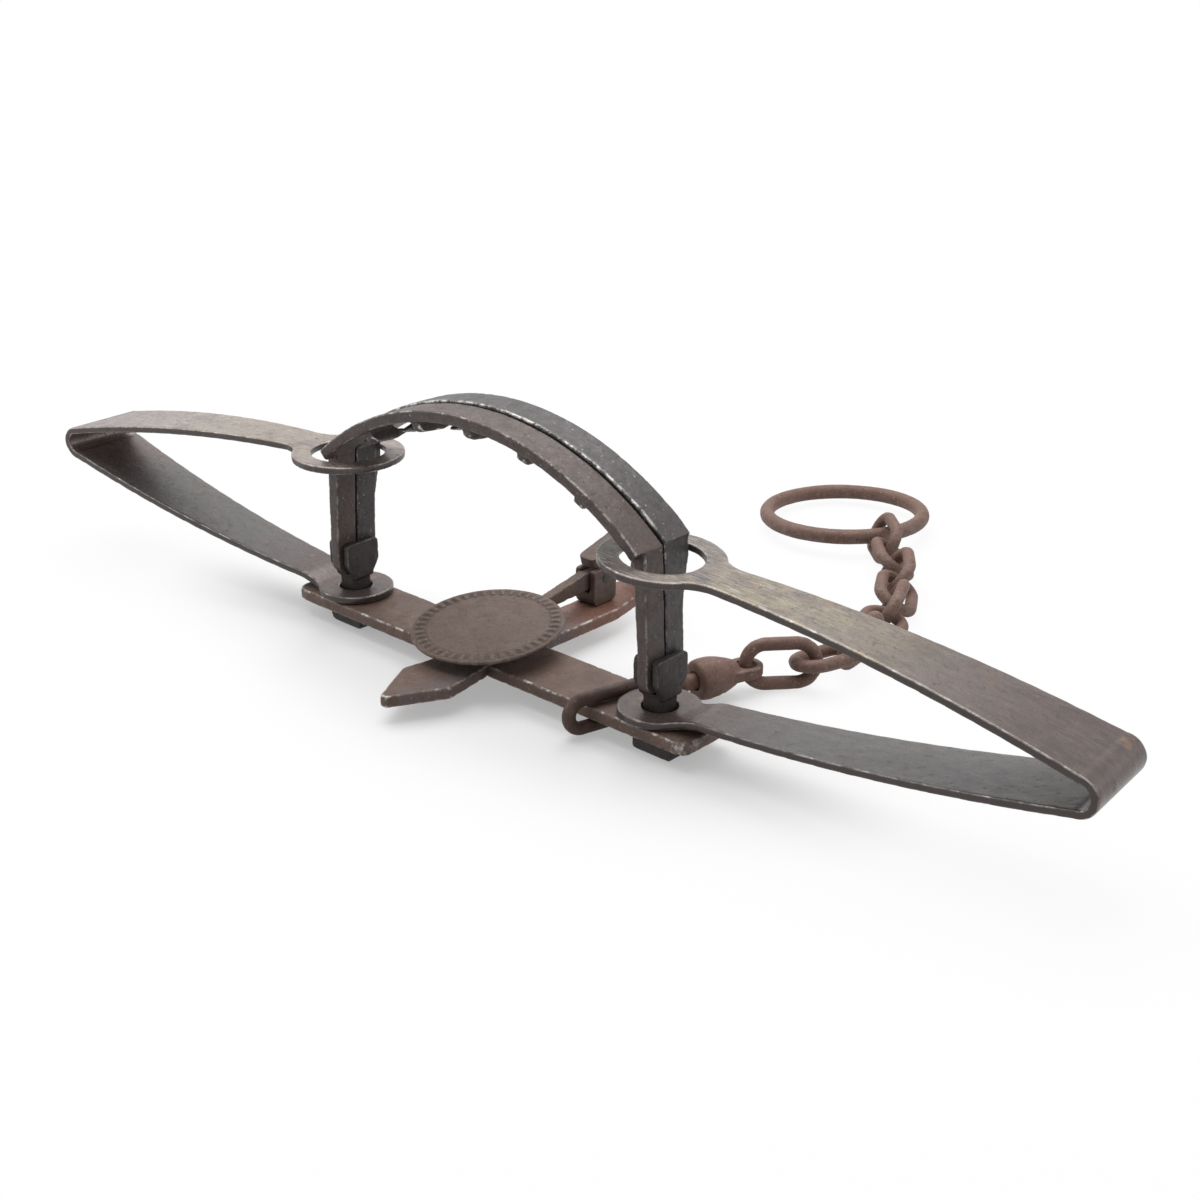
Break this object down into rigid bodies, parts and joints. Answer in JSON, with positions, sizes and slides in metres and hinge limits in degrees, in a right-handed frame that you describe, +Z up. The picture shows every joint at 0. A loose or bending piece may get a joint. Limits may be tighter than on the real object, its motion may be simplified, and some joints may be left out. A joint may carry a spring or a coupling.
{
  "type": "leghold trap",
  "caption": "Forged leghold trap, jaws shut, with long leaf springs at both ends, round pan and dog on a cross bar, and a swivel chain ending in a stake ring.",
  "frame": {"origin": "on the ground under the middle of the base bar, where the two bars cross", "axes": "+X along the base bar toward the spring on the chain's side, +Y along the cross bar toward the dog, +Z up"},
  "size_m": [0.5068, 0.3228, 0.1079],
  "materials": {
    "base_iron": "worn brown patina",
    "jaw_iron": "dark pitted iron, edges rubbed bright",
    "spring_steel": "worn steel with tan and brown patina",
    "pan_iron": "brown patina",
    "chain_iron": "smooth red-brown rust"
  },
  "bodies": {
    "base": {"base_bar": "base_iron", "cross_bar": "base_iron", "centre_rivet": "base_iron", "left_post": "base_iron", "right_post": "base_iron", "left_foot": "base_iron", "right_foot": "base_iron", "left_jaw_pins": "base_iron", "right_jaw_pins": "base_iron", "pan_post": "pan_iron", "pan_post_rivet": "pan_iron", "pan_pin": "pan_iron", "dog_pin": "pan_iron"},
    "front_jaw": {"front_jaw": "jaw_iron"},
    "rear_jaw": {"rear_jaw": "jaw_iron"},
    "left_spring": {"left_spring_lower": "spring_steel"},
    "right_spring": {"right_spring_lower": "spring_steel"},
    "left_leaf": {"left_spring_upper": "spring_steel"},
    "right_leaf": {"right_spring_upper": "spring_steel"},
    "pan": {"pan": "pan_iron", "pan_shank": "pan_iron", "pan_rivet": "pan_iron"},
    "dog": {"dog": "pan_iron"},
    "bow": {"swivel_bow": "chain_iron"},
    "swivel": {"swivel_body": "chain_iron"},
    "link_1": {"link_1": "chain_iron"},
    "link_2": {"link_2": "chain_iron"},
    "link_3": {"link_3": "chain_iron"},
    "link_4": {"link_4": "chain_iron"},
    "link_5": {"link_5": "chain_iron"},
    "link_6": {"link_6": "chain_iron"},
    "link_7": {"link_7": "chain_iron"},
    "link_8": {"link_8": "chain_iron"},
    "link_9": {"link_9": "chain_iron"},
    "ring": {"stake_ring": "chain_iron"}
  },
  "joints": [
    {"name": "front_jaw_hinge", "type": "hinge", "parent": "base", "child": "front_jaw", "pos_m": [0, -0.0052, 0.0265], "axis": [1, 0, 0], "range_deg": [0, 84], "stiffness_Nm_per_rad": 6, "springref_deg": -28.65},
    {"name": "rear_jaw_hinge", "type": "hinge", "parent": "base", "child": "rear_jaw", "pos_m": [0, 0.0052, 0.0265], "axis": [-1, 0, 0], "range_deg": [0, 72.01]},
    {"name": "left_spring_swing", "type": "hinge", "parent": "base", "child": "left_spring", "pos_m": [-0.0835, 0, 0.0114], "axis": [0, 0, 1], "range_deg": [-70, 70]},
    {"name": "right_spring_swing", "type": "hinge", "parent": "base", "child": "right_spring", "pos_m": [0.0835, 0, 0.0114], "axis": [0, 0, 1], "range_deg": [-70, 45]},
    {"name": "left_spring_flex", "type": "hinge", "parent": "left_spring", "child": "left_leaf", "pos_m": [-0.24479, -0.01156, 0.048], "axis": [-0.0715, 0.9974, 0], "range_deg": [0, 18.01], "deforming": ["left_spring_upper"]},
    {"name": "right_spring_flex", "type": "hinge", "parent": "right_spring", "child": "right_leaf", "pos_m": [0.24474, 0.01212, 0.0412], "axis": [0.075, -0.9972, 0], "range_deg": [0, 18.01], "deforming": ["right_spring_upper"]},
    {"name": "pan_hinge", "type": "hinge", "parent": "base", "child": "pan", "pos_m": [-0.0034, 0.061, 0.0224], "axis": [-1, 0, 0], "range_deg": [0, 8]},
    {"name": "dog_hinge", "type": "hinge", "parent": "base", "child": "dog", "pos_m": [-0.0034, 0.0926, 0.03962], "axis": [-1, 0, 0], "range_deg": [0, 140]},
    {"name": "bow_swing", "type": "hinge", "parent": "base", "child": "bow", "pos_m": [0.064, 0, 0.0088], "axis": [0, 0, 1], "range_deg": [-2, 12]},
    {"name": "swivel_spin", "type": "hinge", "parent": "bow", "child": "swivel", "pos_m": [0.0709, 0.02767, 0.0088], "axis": [0.3256, 0.9455, 0], "range_deg": [-90, 90]},
    {"name": "link_1_hinge", "type": "hinge", "parent": "swivel", "child": "link_1", "pos_m": [0.08002, 0.05415, 0.0088], "axis": [0, 0, 1], "range_deg": [-15, 15]},
    {"name": "link_2_hinge", "type": "hinge", "parent": "link_1", "child": "link_2", "pos_m": [0.09822, 0.07436, 0.01048], "axis": [-0.129, 0.1162, 0.9848], "range_deg": [-25, 25]},
    {"name": "link_3_hinge", "type": "hinge", "parent": "link_2", "child": "link_3", "pos_m": [0.10237, 0.09456, 0.01004], "axis": [-0.9467, 0.2714, -0.1736], "range_deg": [-7, 8]},
    {"name": "link_4_hinge", "type": "hinge", "parent": "link_3", "child": "link_4", "pos_m": [0.09847, 0.11473, 0.01108], "axis": [0.1724, 0.0212, 0.9848], "range_deg": [-20, 25]},
    {"name": "link_5_hinge", "type": "hinge", "parent": "link_4", "child": "link_5", "pos_m": [0.09156, 0.13379, 0.00919], "axis": [-0.9187, -0.2985, 0.2588], "range_deg": [-25, 20]},
    {"name": "link_6_hinge", "type": "hinge", "parent": "link_5", "child": "link_6", "pos_m": [0.08299, 0.15211, 0.0102], "axis": [-0.4289, -0.191, -0.8829], "range_deg": [-25, 15]},
    {"name": "link_7_hinge", "type": "hinge", "parent": "link_6", "child": "link_7", "pos_m": [0.07255, 0.16943, 0.00789], "axis": [-0.7263, -0.4193, 0.5446], "range_deg": [-25, 25]},
    {"name": "link_8_hinge", "type": "hinge", "parent": "link_7", "child": "link_8", "pos_m": [0.06037, 0.18557, 0.00947], "axis": [-0.4981, -0.3619, -0.788], "range_deg": [-25, 25]},
    {"name": "link_9_hinge", "type": "hinge", "parent": "link_8", "child": "link_9", "pos_m": [0.04656, 0.20034, 0.00773], "axis": [-0.6012, -0.5413, 0.5878], "range_deg": [-25, 25]},
    {"name": "ring_hinge", "type": "hinge", "parent": "link_9", "child": "ring", "pos_m": [0.03789, 0.20836, 0.00972], "axis": [0.454, 0.891, 0], "range_deg": [0, 60]}
  ],
  "couplings": [
    {"joint": "rear_jaw_hinge", "follows": "front_jaw_hinge", "ratio": 0.85714},
    {"joint": "left_spring_flex", "follows": "front_jaw_hinge", "ratio": 0.21429},
    {"joint": "right_spring_flex", "follows": "front_jaw_hinge", "ratio": 0.21429}
  ]
}
